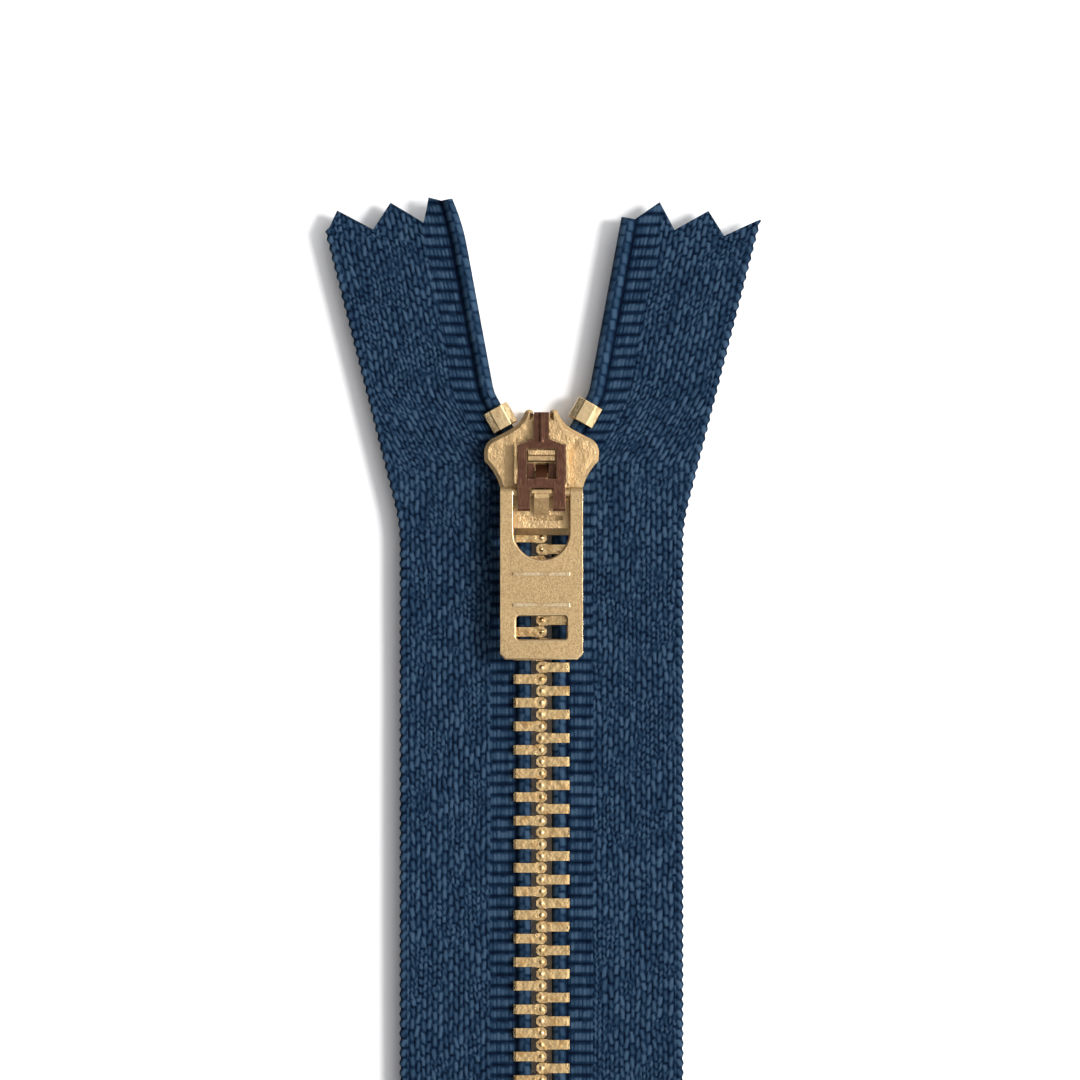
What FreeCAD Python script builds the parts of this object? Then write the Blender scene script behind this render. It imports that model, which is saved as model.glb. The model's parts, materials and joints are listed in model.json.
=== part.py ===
"""Closed-end metal jeans zipper lying flat, its slider at the top of the chain.

Frame: millimetres, +Z up out of the face, +Y along the chain towards the open end, +X to the right
of someone who looks at the face.  The origin is on the chain's centre line, under the middle of
the slider, on the underside of the slider's lower plate.
"""
import FreeCAD, Part
import os
import re
import Sketcher

V = FreeCAD.Vector

# The driving dimensions, in millimetres, degrees or counts.
DIMENSIONS = {
    # chain
    "pitch": 2.5,              # from one tooth to the next on the same side
    "run_count": 6,            # runs of straight teeth on each side
    "teeth_per_run": 6,        # teeth in a run
    "low_teeth": 3,            # teeth on each side that never part, next to the bottom stop
    "first_tooth": 0.5,        # where the topmost straight tooth of the left side stands
    "bar_width": 1.0,          # a tooth's bar, measured along the chain
    "head_gap": 0.08,          # between two meshed heads
    "head_reach": 0.55,        # how far a head passes the centre line
    "neck_line": 0.6,          # where a tooth's bar ends and its head begins
    "chain_half": 2.97,        # from the centre line to a tooth's outer end
    "tooth_height": 2.3,
    "tooth_chamfer": 0.28,
    "head_drop": 0.1,          # how much lower a head's faces lie than its bar's
    "nib_radius": 0.42,
    "nib_sink": 0.15,          # depth of the nib's centre inside the head
    # cord and tape
    "cord_line": 1.85,         # from the centre line to the middle of the cord
    "cord_diameter": 1.5,
    "cord_fit": 0.03,          # radial clearance of the cord in the teeth and stops
    "tape_thick": 0.55,
    "tape_half": 15.0,         # from the centre line to the selvedge of the closed chain
    "tape_rise": 28.2,         # from the slider's middle to the top corner of the inner edge
    "mouth_start": 1.15,       # where the two rows begin to part inside the slider
    "mouth_angle": 29.0,       # lean of each row in the slider's mouth
    "mouth_run": 7.0,          # straight stretch of that lean
    "mouth_bend": 1.0,         # bend radius of the cord where the lean begins
    "flare_bend": 5.0,         # bend radius of the cord above the top stop
    "flare_angle": 10.5,       # lean of the inner edges above the top stops
    "edge_angle": 14.3,        # lean of the selvedges
    "edge_start": 5.6,         # below the slider's middle, where the selvedges begin to lean
    "edge_bend": 18.0,         # bend radius of the selvedges there
    "pink_pitch": 5.3,         # tooth spacing of the pinked cut
    "pink_depth": 2.3,
    "pink_start": 1.2,         # from the inner edge to the first peak of the pinked cut
    "tail_flat": 2.0,          # level tape below the bottom stop
    "tail_slope": 6.0,         # where the tape comes down to the table
    "tail_end": 5.0,           # tape lying on the table
    "tail_bend": 6.0,          # bend radius of the cords there
    # stops
    "stop_width": 2.9,
    "stop_length": 2.4,
    "stop_height": 3.1,
    "stop_chamfer": 0.75,
    "left_stop": 6.35,         # height of the left top stop's middle along its leaning row
    "right_stop": 7.0,
    "bottom_stop_length": 3.2,
    "stop_gap": 0.3,           # between the last head and the bottom stop
    # slider body
    "lower_plate": 1.1,
    "tooth_play": 0.2,         # between a tooth and each plate
    "upper_plate": 1.2,
    "slider_front": 6.55,
    "slider_rear": 6.75,
    "shoulder_half": 6.08,
    "shoulder_low": 1.8,       # from the slider's middle to the straight side of a shoulder
    "shoulder_round": 1.75,
    "shoulder_in": 4.8,        # where the rounding of a shoulder begins, from the centre line
    "shoulder_top": 3.65,      # and from the slider's middle
    "corner_y": 1.1,           # rear corner of a shoulder
    "flank_bend": 6.0,         # radius of the hollow flank behind a shoulder
    "flank_end": 1.65,
    "waist_start": 3.0,
    "rear_corner": 0.6,
    "horn_out": 1.72,          # half width over the horns
    "horn_round": 0.52,
    "horn_drop": 0.2,          # from a horn's tip down to the start of its rounding
    "throat_in": 3.3,          # inner end of a shoulder's front edge
    "throat_y": 4.45,
    "throat_bend": 3.2,        # radius of the hollow between a horn and its shoulder
    "wedge_half": 1.0,         # the wedge that parts the two rows
    "wedge_wide_y": 5.0,
    "wedge_tip_y": 3.75,
    "wedge_tip_half": 0.25,
    "waist_half": 4.1,         # half width of the slider behind the shoulders
    "waist_flare": 0.3,        # how much wider it is where the flank ends
    "shoulder_draft": 0.06,    # how much narrower a shoulder is at its rear corner
    "chain_side": 0.15,        # clearance beside the chain in the slider
    "rim_flare": 0.35,         # how much wider the chain's way is where the rims begin to part
    "rim_width": 1.0,          # width of a rim at the shoulder
    "flange_gap": 0.95,        # slit between the flanges, where the tape runs
    "plate_chamfer": 0.3,
    "deck_chamfer": 0.4,
    "horn_gap": 0.9,           # half width of the notch between the horns
    "notch_depth": 0.8,
    "claw_hole_half": 0.75,
    "claw_hole_front": 0.9,
    "claw_hole_rear": 0.15,
    "gutter_front": 4.66,      # the cross groove in front of the slider's rear lip
    "gutter_rear": 5.2,
    "gutter_half": 2.25,
    "gutter_depth": 0.7,
    "lip_slope": 0.75,
    "lug_half": 1.4,           # the lug in the spring's window
    "lug_front": 2.2,
    "lug_rear": 1.0,
    "lug_rise": 0.12,          # how far the lug stands over the spring
    "lug_lip": 0.45,           # length of the lug's flat top
    "lug_step": 0.15,          # run of the slope behind it, and of the one at the lug's rear
    "lug_sink": 0.25,          # how far the lug's rear edge lies below the spring's face
    "cheek_front": 2.9,
    "cheek_rear": 1.3,
    # lock spring
    "leaf_thick": 0.42,
    "leaf_half": 2.52,
    "leaf_rear": 4.2,
    "leaf_corner": 0.3,
    "leaf_drop": 0.75,         # how far the spring's rear edge turns down
    "leaf_bend": 0.1,          # breaks at the spring's bends
    "neck_rise": 0.15,         # clearance of the neck over the upper plate
    "hook_length": 0.9,        # how far the front hook reaches below the slider's deck
    "claw_half": 0.6,
    "claw_front": 0.75,
    "claw_rear": 0.35,
    "claw_clear": 0.1,         # between the claw's tip and the teeth
    "leaf_front": 2.75,        # where the leaf begins to narrow to its neck
    "neck_front": 3.4,
    "neck_half": 0.8,
    "window_half": 1.58,
    "window_front": 2.4,
    "window_rear": 0.8,
    "notch_half": 1.2,
    "notch_front": 1.75,
    "hook_gap": 0.1,           # between the spring's front hook and the slider's nose
    "cam_gap": 0.06,           # between the spring and the cams of the tab
    "cheek_gap": 0.08,         # between the spring and the cheeks beside it
    "cheek_thick": 0.26,
    # pull tab
    "tab_half": 4.37,
    "tab_end": 19.9,           # from the slider's middle to the free end of the tab
    "tab_thick": 1.1,
    "tab_axis": 2.25,          # from the slider's middle back to the tab's axis
    "axis_rise": 0.72,         # height of the axis over the upper plate
    "bow_half": 2.92,          # half width of the opening between the arms
    "bow_end": 9.33,
    "slot_half": 2.65,
    "slot_top": 15.3,
    "slot_bottom": 17.75,
    "slot_corner": 0.3,
    "tab_corner": 0.55,
    "tab_edge": 0.14,
    "bar_radius": 0.5,
    "cam_offset": 0.35,
    "cam_half": 1.25,          # from the centre line to where a cam begins
    "cam_out": 2.4,            # and to where it ends
    "keeper_half": 0.8,
    "keeper_head_half": 1.05,
    "keeper_tip": 1.95,        # from the slider's middle back to the keeper's tip
    "keeper_foot": 3.75,       # front and rear of the keeper's foot on the upper plate
    "keeper_heel": 4.6,
    "keeper_thick": 0.5,
    "keeper_gap": 0.1,         # between the keeper and the tab's bar
    "keeper_lean": 0.2,        # how far the keeper's front face leans forward
    "keeper_round": 0.25,      # break inside the keeper's arch
    "keeper_flat": 0.85,       # length of the keeper's flat top
    "keeper_back": 0.45,       # height of its upright back
    "keeper_bead": 0.14,       # how far the bead at its tip stands up
    "keeper_bead_length": 0.5,
    "keeper_bead_depth": 0.28,
    "field_top": 10.76,        # the two raised lines across the tab
    "field_bottom": 14.05,
    "line_half": 3.0,
    "line_width": 0.26,
    "line_height": 0.12,
}

doc = FreeCAD.newDocument("zipper")
sheet = doc.addObject("Spreadsheet::Sheet", "Dims")
for row, (alias, number) in enumerate(DIMENSIONS.items(), 1):
    sheet.set(f"A{row}", alias)
    sheet.set(f"B{row}", str(number))
    sheet.setAlias(f"B{row}", alias)
doc.recompute()


def d(text):
    """An expression in which each word that is a driving dimension is read from the sheet."""
    read = re.sub(r"(?<![\w.])(\w+)", lambda m: f"Dims.{m[1]}" if m[1] in DIMENSIONS else m[1], text)
    return f"({read})"


def value(expression):
    """The number that an expression gives now."""
    result = sheet.evalExpression(expression.replace("Dims.", ""))
    return float(getattr(result, "Value", result))


# Heights and places that follow from the driving dimensions.
CHANNEL = d("tooth_height + 2 * tooth_play")   # clear height between the two plates
MID = d(f"lower_plate + {CHANNEL} / 2")
DECK = d(f"lower_plate + {CHANNEL} + upper_plate")
CEILING = d(f"lower_plate + {CHANNEL}")
AXIS_Z = d(f"{DECK} + axis_rise")
HEAD = d("pitch / 2 - head_gap")
HEAD_HEIGHT = d("tooth_height - 2 * head_drop")
BORE = d("cord_diameter / 2 + cord_fit")
STRAIGHT_TEETH = d("run_count * teeth_per_run")
PIVOT_Y = d(f"first_tooth - ({STRAIGHT_TEETH} - 1) * pitch - 0.75 * pitch")
STOP_TOP = d(f"first_tooth - pitch / 2 - ({STRAIGHT_TEETH} + low_teeth - 1) * pitch - {HEAD} / 2 - stop_gap")
STOP_BOTTOM = d(f"{STOP_TOP} - bottom_stop_length")
LEAF_Z = d(f"{AXIS_Z} + bar_radius + cam_gap")
CORD_REST = d("cord_diameter / 2")
TAPE_REST = d("tape_thick / 2")


def plane(body, role):
    return next(f for f in body.Origin.OriginFeatures if f.Role == role)


def new_body(name, base=("0", "0", "0"), turn=None):
    """A sub-part's body, placed at base and turned about Z by the expression turn."""
    body = doc.addObject("PartDesign::Body", name)
    body.Label = name
    if hasattr(body, "AllowCompound"):
        body.AllowCompound = True
    if turn:
        body.Placement = FreeCAD.Placement(V(0, 0, 0), FreeCAD.Rotation(V(0, 0, 1), value(turn)))
        body.setExpression("Placement.Rotation.Angle", turn)
    for letter, expression in zip("xyz", base):
        body.setExpression(f"Placement.Base.{letter}", expression)
    return body


def bulge_middle(start, end, radius, major=False):
    """The middle of an arc from start to end.  A positive radius bulges to the right of the way
    from start to end, and major takes the long way round."""
    chord = end - start
    half = chord.Length / 2
    right = V(chord.y, -chord.x, 0)
    right.normalize()
    across = (radius * radius - half * half) ** 0.5 if abs(radius) > half else 0.0
    sagitta = abs(radius) + across if major else abs(radius) - across
    return (start + end) / 2 + right * (sagitta if radius > 0 else -sagitta)


def draw(sketch, points, closed=True):
    """Draws an outline or an open path.  Each point is (x, y) or (x, y, radius of the arc that
    leaves it, "major" for the long way round), all of them expressions; the radius has a sign,
    see bulge_middle."""
    places = [V(value(p[0]), value(p[1]), 0) for p in points]
    count = len(points)
    lines = []
    for n in range(count if closed else count - 1):
        start = places[n]
        end = places[(n + 1) % count]
        if len(points[n]) > 2:
            middle = bulge_middle(start, end, value(points[n][2]), len(points[n]) > 3)
            lines.append(sketch.addGeometry(Part.Arc(start, middle, end)))
        else:
            lines.append(sketch.addGeometry(Part.LineSegment(start, end)))

    def end_at(line, place):
        return 1 if (sketch.getPoint(line, 1) - place).Length < 1e-6 else 2

    for n, point in enumerate(points):
        before = lines[n - 1] if n or closed else None
        here = lines[n] if n < len(lines) else None
        if before is not None and here is not None:
            ends = (end_at(before, places[n]), end_at(here, places[n]))
            sketch.addConstraint(Sketcher.Constraint("Coincident", before, ends[0], here, ends[1]))
        held = before if here is None else here
        tag = end_at(held, places[n])
        for kind, size, text in (("DistanceX", places[n].x, point[0]), ("DistanceY", places[n].y, point[1])):
            number = sketch.addConstraint(Sketcher.Constraint(kind, -1, 1, held, tag, size))
            sketch.setExpression(f"Constraints[{number}]", text)
        if here is not None and len(point) > 2:
            number = sketch.addConstraint(Sketcher.Constraint("Radius", here, abs(value(point[2]))))
            sketch.setExpression(f"Constraints[{number}]", f"abs({point[2]})")


def circle(sketch, x, y, radius):
    centre = V(value(x), value(y), 0)
    here = sketch.addGeometry(Part.Circle(centre, V(0, 0, 1), value(radius)))
    for kind, place, text in (("DistanceX", centre.x, x), ("DistanceY", centre.y, y)):
        number = sketch.addConstraint(Sketcher.Constraint(kind, -1, 1, here, 3, place))
        sketch.setExpression(f"Constraints[{number}]", text)
    number = sketch.addConstraint(Sketcher.Constraint("Radius", here, value(radius)))
    sketch.setExpression(f"Constraints[{number}]", radius)


def sketch_on(body, name, role, offset="0"):
    """A sketch on one of the body's own planes, moved along that plane's normal by offset."""
    sketch = body.newObject("Sketcher::SketchObject", name)
    sketch.AttachmentSupport = [(plane(body, role), "")]
    sketch.MapMode = "FlatFace"
    sketch.setExpression("AttachmentOffset.Base.z", offset)
    return sketch


def extrude(body, name, sketch, length, kind="Pad", both_ways=False, reverse=False):
    """A pad or pocket of a sketch; a pocket must take something away and a pad must add."""
    before = body.Shape.Volume if body.Tip and not body.Shape.isNull() else 0.0
    feature = body.newObject(f"PartDesign::{kind}", name)
    feature.Profile = sketch
    if both_ways:
        feature.SideType = "Symmetric"
    feature.Reversed = reverse
    feature.setExpression("Length", length)
    sketch.Visibility = False
    doc.recompute()
    change = body.Shape.Volume - before
    if (kind == "Pocket") == (change > -1e-6):
        raise RuntimeError(f"{body.Label}: {name} changed the volume by {change:.4f}")
    return feature


def mirrored(points):
    """An outline from its right half, given from front to rear: the left half is its mirror.
    An arc keeps its bulge, so its radius keeps its sign on the way back."""
    left = []
    for n in range(len(points) - 1, -1, -1):
        point = points[n]
        arc = points[n - 1][2:] if n else ()
        left.append((f"-({point[0]})", point[1]) + tuple(arc))
    right = [tuple(p) for p in points]
    right[-1] = right[-1][:2]
    return right + left


def outline(rows, side=1):
    """Turns the words in an outline's points into expressions, mirrored in X for side -1."""
    made = []
    for row in rows:
        x, y = d(f"{side} * ({row[0]})"), d(row[1])
        bend = (d(f"{side} * ({row[2]})"),) if len(row) > 2 else ()
        made.append((x, y) + bend + tuple(row[3:]))
    return made


def rectangle(x_low, x_high, y_low, y_high):
    return outline([(x_low, y_low), (x_high, y_low), (x_high, y_high), (x_low, y_high)])


def edges_where(shape, test):
    """The names of the edges whose middle point, and whose two ends, all pass the test."""
    names = []
    for number, edge in enumerate(shape.Edges, 1):
        spots = [v.Point for v in edge.Vertexes]
        spots.append(edge.valueAt((edge.FirstParameter + edge.LastParameter) / 2))
        if all(test(spot) for spot in spots):
            names.append(f"Edge{number}")
    return names


def bevel(body, name, size, test):
    """A chamfer on the edges that pass the test."""
    base = (body.Tip, edges_where(body.Shape, test))
    feature = body.newObject("PartDesign::Chamfer", name)
    feature.Base = base
    feature.setExpression("Size", size)
    doc.recompute()


def sweep(body, name, path, profile):
    pipe = body.newObject("PartDesign::AdditivePipe", name)
    pipe.Profile = profile
    pipe.Spine = (path, [])
    path.Visibility = False
    profile.Visibility = False
    return pipe


SLIT = d("tape_thick / 2")
BORE_EDGE = d(f"cord_line + sqrt({BORE} ^ 2 - {SLIT} ^ 2)")
LEAN_START = d("mouth_start - mouth_bend * tan(mouth_angle / 2)")


def row_path(offset):
    """The way of a row's cord above the pivot, on the right side, displaced outwards by offset:
    straight up the chain, an arc into the slider's mouth, the leaning stretch, an arc back, and
    the flare above the top stop."""
    inner = f"(mouth_bend - {offset})"
    outer = f"(flare_bend + {offset})"
    x1 = "(cord_line + mouth_bend)"
    x2 = f"({x1} - (mouth_bend + flare_bend) * cos(mouth_angle) + mouth_run * sin(mouth_angle))"
    y2 = f"({LEAN_START} + mouth_bend * sin(mouth_angle) + mouth_run * cos(mouth_angle)" \
         " + flare_bend * sin(mouth_angle))"
    end_x = f"({x2} + {outer} * cos(flare_angle))"
    end_y = f"({y2} - {outer} * sin(flare_angle))"
    return [
        (f"cord_line + {offset}", PIVOT_Y),
        (f"cord_line + {offset}", LEAN_START, f"-{inner}"),
        (f"{x1} - {inner} * cos(mouth_angle)", f"{LEAN_START} + {inner} * sin(mouth_angle)"),
        (f"{x2} + {outer} * cos(mouth_angle)", f"{y2} - {outer} * sin(mouth_angle)", outer),
        (end_x, end_y),
        (f"{end_x} + (tape_rise - {end_y}) * tan(flare_angle)", "tape_rise"),
    ]


def row_place(side, along):
    """Where a piece that stands on the leaning row has its own origin, the chain's centre line,
    when its middle is at the height along; with the turn that goes with it."""
    rise = f"({along} - mouth_start)"
    x = f"cord_line - cord_line * cos(mouth_angle) + {rise} * sin(mouth_angle)"
    y = f"mouth_start + cord_line * sin(mouth_angle) + {rise} * cos(mouth_angle)"
    return (d(f"{side} * ({x})"), d(y), MID), d(f"{-side} * mouth_angle")


def clamp_outline(inner, outer, height, corner, both_corners):
    """The section of a piece that is crimped round the cord and the tape: a block with a bore
    for the cord and a slit for the tape, open outwards."""
    inner_corner = corner if both_corners else "0"
    top = f"({height} / 2)"
    upper = [(inner, f"{top} - {inner_corner}"), (f"{inner} + {inner_corner}", top)]
    lower = [(f"{inner} + {inner_corner}", f"-{top}"), (inner, f"{inner_corner} - {top}")]
    if not both_corners:
        upper, lower = upper[:1], lower[:1]
    return (
        [(outer, SLIT), (outer, f"{top} - {corner}"), (f"{outer} - {corner}", top)]
        + upper[::-1] + lower[::-1]
        + [(f"{outer} - {corner}", f"-{top}"), (outer, f"{corner} - {top}"), (outer, f"-{SLIT}")]
        + [(BORE_EDGE, f"-{SLIT}", f"-{BORE}", "major"), (BORE_EDGE, SLIT)]
    )


def ball(body, kind, name, radius, centre):
    """A sphere added to or taken from a body."""
    sphere = body.newObject(f"PartDesign::{kind}Sphere", name)
    sphere.AttachmentSupport = [(plane(body, "XY_Plane"), "")]
    sphere.MapMode = "FlatFace"
    sphere.setExpression("Radius", d(radius))
    for letter, text in zip("xyz", centre):
        sphere.setExpression(f"AttachmentOffset.Base.{letter}", d(text))
    return sphere


def teeth(name, side, base, turn, count):
    """A run of brass teeth of one side: each is a bar crimped round the cord, and a head with a
    nib on its upper side that sits in the hollow of the head above it."""
    body = new_body(name, base, turn)
    section = sketch_on(body, "BarSection", "XZ_Plane")
    draw(section, outline(
        clamp_outline("neck_line", "chain_half", "tooth_height", "tooth_chamfer", False), side))
    extrude(body, "Bar", section, d("bar_width"), both_ways=True)
    half = f"({HEAD} / 2)"
    tip = "(tooth_chamfer * 1.2)"
    plan = sketch_on(body, "HeadPlan", "XY_Plane")
    draw(plan, outline([
        ("neck_line", f"-{half}"), ("neck_line", half),
        (f"{tip} - head_reach", half), ("-head_reach", f"{half} - {tip}"),
        ("-head_reach", f"{tip} - {half}"), (f"{tip} - head_reach", f"-{half}"),
    ], side))
    extrude(body, "Head", plan, HEAD_HEIGHT, both_ways=True)
    rise = f"{half} - nib_sink"
    ball(body, "Additive", "Nib", "nib_radius", ("0", rise, "0"))
    ball(body, "Subtractive", "Hollow", "nib_radius + head_gap",
         ("0", f"-{half} - head_gap - nib_sink", "0"))
    dome = f"{HEAD_HEIGHT} / 2 + head_drop - nib_radius"
    ball(body, "Additive", "FaceDome", "nib_radius", ("0", "0", dome))
    ball(body, "Additive", "BackDome", "nib_radius", ("0", "0", f"-({dome})"))
    doc.recompute()
    if count is not None:
        run = body.newObject("PartDesign::LinearPattern", "Run")
        run.TransformMode = "Whole shape"
        run.Direction = (plane(body, "Y_Axis"), [""])
        run.Reversed = True
        run.Mode = "Spacing"
        run.setExpression("Offset", d("pitch"))
        run.setExpression("Occurrences", count)
        body.Tip = run
    return body


def top_stop(name, side, along):
    """The faceted brass block crimped over the end of a row."""
    body = new_body(name, *row_place(side, along))
    section = sketch_on(body, "Section", "XZ_Plane")
    draw(section, outline(clamp_outline(
        "(cord_line - stop_width / 2)", "(cord_line + stop_width / 2)", "stop_height",
        "stop_chamfer", True), side))
    extrude(body, "Block", section, d("stop_length"), both_ways=True)
    return body


def bottom_stop():
    """One block crimped round both cords below the last teeth."""
    body = new_body("bottom_stop", ("0", d(f"{STOP_TOP} - bottom_stop_length / 2"), MID))
    section = sketch_on(body, "Section", "XZ_Plane")
    top = "(stop_height / 2)"
    half = [
        ("chain_half - stop_chamfer / 2", top), ("chain_half", f"{top} - stop_chamfer / 2"),
        ("chain_half", SLIT), (BORE_EDGE, SLIT, BORE, "major"), (BORE_EDGE, f"-{SLIT}"),
        ("chain_half", f"-{SLIT}"), ("chain_half", f"stop_chamfer / 2 - {top}"),
        ("chain_half - stop_chamfer / 2", f"-{top}"),
    ]
    draw(section, mirrored(outline(half)))
    extrude(body, "Block", section, d("bottom_stop_length"), both_ways=True)
    return body


def cord(name, side):
    """The cord along the edge of a tape that opens, from the pivot to the top of the tape."""
    body = new_body(name)
    path = sketch_on(body, "Way", "XY_Plane", MID)
    draw(path, outline(row_path("0"), side), closed=False)
    profile = sketch_on(body, "Section", "XZ_Plane", f"-{PIVOT_Y}")
    circle(profile, d(f"{side} * cord_line"), MID, d("cord_diameter / 2"))
    doc.recompute()
    sweep(body, "Cord", path, profile)
    return body


def tail_way():
    """The side view of the tape's middle below the pivot: level, then down to the table."""
    slope = f"atan(({MID} - {CORD_REST}) / tail_slope)"
    reach = f"(tail_bend * tan({slope} / 2))"
    top = f"({STOP_BOTTOM} - tail_flat)"
    foot = f"({top} - tail_slope)"
    return [
        (PIVOT_Y, MID),
        (f"{top} + {reach}", MID, "-tail_bend"),
        (f"{top} - {reach} * cos({slope})", f"{MID} - {reach} * sin({slope})"),
        (f"{foot} + {reach} * cos({slope})", f"{CORD_REST} + {reach} * sin({slope})", "tail_bend"),
        (f"{foot} - {reach}", CORD_REST),
        (f"{foot} - tail_end", CORD_REST),
    ]


def cord_tail(name, side):
    body = new_body(name)
    path = sketch_on(body, "Way", "YZ_Plane", d(f"{side} * cord_line"))
    draw(path, outline(tail_way()), closed=False)
    profile = sketch_on(body, "Section", "XZ_Plane", f"-{PIVOT_Y}")
    circle(profile, d(f"{side} * cord_line"), MID, d("cord_diameter / 2"))
    doc.recompute()
    sweep(body, "Cord", path, profile)
    return body


def tape(name, side):
    """The woven tape that opens: straight beside the chain, flared and pinked at the top."""
    body = new_body(name)
    plan = sketch_on(body, "Plan", "XY_Plane", MID)
    inner = row_path("(cord_diameter / 2)")
    edge_low = "(edge_bend * tan(edge_angle / 2))"
    selvedge = [
        ("(tape_half + (tape_rise + edge_start - pink_depth) * tan(edge_angle))", "tape_rise - pink_depth"),
        (f"tape_half + {edge_low} * sin(edge_angle)", f"{edge_low} * cos(edge_angle) - edge_start",
         "edge_bend"),
        ("tape_half", f"-edge_start - {edge_low}"),
        ("tape_half", PIVOT_Y),
    ]
    start_x, start_y = inner[-1]
    cut = []
    for peak in range(3):
        for along, rise in ((f"pink_start + {peak} * pink_pitch", "pink_depth / 2"),
                            (f"pink_start + {peak + 0.5} * pink_pitch", "-pink_depth / 2")):
            cut.append((f"{start_x} + ({along}) * cos(flare_angle / 2) + ({rise}) * sin(flare_angle)",
                        f"tape_rise + ({rise}) * cos(flare_angle) - ({along}) * sin(flare_angle / 2)"))
    draw(plan, outline(inner + cut[:5] + selvedge, side))
    extrude(body, "Tape", plan, d("tape_thick"), both_ways=True)
    return body


def tape_tail(name, side):
    """The rest of the tape, from the pivot past the bottom stop down to the table."""
    body = new_body(name)
    inner = "(cord_line + cord_diameter / 2)"
    offset = d(inner) if side > 0 else d("-tape_half")
    section = sketch_on(body, "SideView", "YZ_Plane", offset)
    top = f"({STOP_BOTTOM} - tail_flat)"
    foot = f"({top} - tail_slope)"
    centre = [(PIVOT_Y, MID), (top, MID), (foot, TAPE_REST), (f"{foot} - tail_end", TAPE_REST)]
    upper = [(y, f"{z} + {SLIT}") for y, z in centre]
    lower = [(y, f"{z} - {SLIT}") for y, z in centre[::-1]]
    draw(section, outline(upper + lower))
    extrude(body, "Tape", section, d(f"tape_half - {inner}"))
    return body


def plate_outline(front):
    """Right half of a slider plate from the given front points to the rear edge."""
    return front + [
        ("horn_out", "slider_front - horn_drop", "throat_bend"),
        ("throat_in", "throat_y"),
        ("shoulder_in", "shoulder_top", "-shoulder_round"),
        ("shoulder_half", "shoulder_low"),
        ("shoulder_half - shoulder_draft", "corner_y", "flank_bend"),
        ("waist_half + waist_flare", "-flank_end"),
        ("waist_half", "-waist_start"),
        ("waist_half", "rear_corner - slider_rear"),
        ("waist_half - rear_corner", "-slider_rear"),
    ]


FLANGE = d(f"({CHANNEL} - flange_gap) / 2")
CHAIN_WAY = d("chain_half + chain_side")


def flange_outline():
    """One of the rims that stand along the sides of a plate and guide the chain."""
    return plate_outline([])[4:] + [
        (CHAIN_WAY, "-slider_rear"),
        (CHAIN_WAY, "-waist_start"),
        (f"{CHAIN_WAY} + rim_flare", "-flank_end"),
        ("shoulder_half - rim_width", "corner_y"),
    ]


def slider_body():
    """The die-cast slider: two plates joined by a wedge at the front, rims along the sides, and
    on the upper plate two horns, the cheeks and lug that hold the spring, and the keeper that
    holds the tab's bar."""
    body = new_body("slider_body")
    lower = sketch_on(body, "LowerPlan", "XY_Plane")
    lower_front = [("horn_out - 0.6", "slider_front - notch_depth / 2")]
    draw(lower, mirrored(outline(plate_outline(lower_front))))
    extrude(body, "LowerPlate", lower, d("lower_plate"))
    wedge = sketch_on(body, "WedgePlan", "XY_Plane", d("lower_plate"))
    draw(wedge, mirrored(outline([
        ("wedge_half * 0.8", "slider_front - notch_depth"),
        ("wedge_half", "wedge_wide_y"),
        ("wedge_tip_half", "wedge_tip_y"),
    ])))
    extrude(body, "Wedge", wedge, CHANNEL)
    upper = sketch_on(body, "UpperPlan", "XY_Plane", CEILING)
    upper_front = [
        ("horn_gap", "slider_front - notch_depth"),
        ("horn_gap", "slider_front - horn_drop", "-horn_round"),
    ]
    draw(upper, mirrored(outline(plate_outline(upper_front))))
    extrude(body, "UpperPlate", upper, d("upper_plate"))
    for name, height, downwards in (("LowerRim", d("lower_plate"), False), ("UpperRim", CEILING, True)):
        rim = sketch_on(body, name + "Plan", "XY_Plane", height)
        for side in (-1, 1):
            draw(rim, outline(flange_outline(), side))
        extrude(body, name, rim, FLANGE, reverse=downwards)
    bevel_slider(body)
    slider_cuts(body)
    slider_lugs(body)
    return body


def bevel_slider(body):
    """Bevels round the deck and round the underside, and the slope of the rear lip."""
    deck = value(DECK)
    bevel(body, "DeckBevel", d("deck_chamfer"), lambda p: abs(p.z - deck) < 1e-6)
    bevel(body, "BaseBevel", d("plate_chamfer"), lambda p: abs(p.z) < 1e-6)
    slope = sketch_on(body, "LipSlopeSide", "YZ_Plane")
    draw(slope, outline([
        ("lip_slope - slider_rear", DECK), ("lip_slope - slider_rear", f"{DECK} + 1"),
        ("-slider_rear - 1", f"{DECK} + 1"), ("-slider_rear - 1", f"{DECK} - lip_slope"),
        ("-slider_rear", f"{DECK} - lip_slope"),
    ]))
    extrude(body, "LipSlope", slope, d("4 * waist_half"), kind="Pocket", both_ways=True)


def slider_cuts(body):
    """The hole that the spring's claw drops through, and the cross groove before the rear lip."""
    hole = sketch_on(body, "ClawHolePlan", "XY_Plane", DECK)
    draw(hole, rectangle("-claw_hole_half", "claw_hole_half", "-claw_hole_rear", "claw_hole_front"))
    extrude(body, "ClawHole", hole, d("upper_plate"), kind="Pocket")
    gutter = sketch_on(body, "GutterPlan", "XY_Plane", DECK)
    draw(gutter, rectangle("-gutter_half", "gutter_half", "-gutter_rear", "-gutter_front"))
    extrude(body, "Gutter", gutter, d("gutter_depth"), kind="Pocket")


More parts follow.
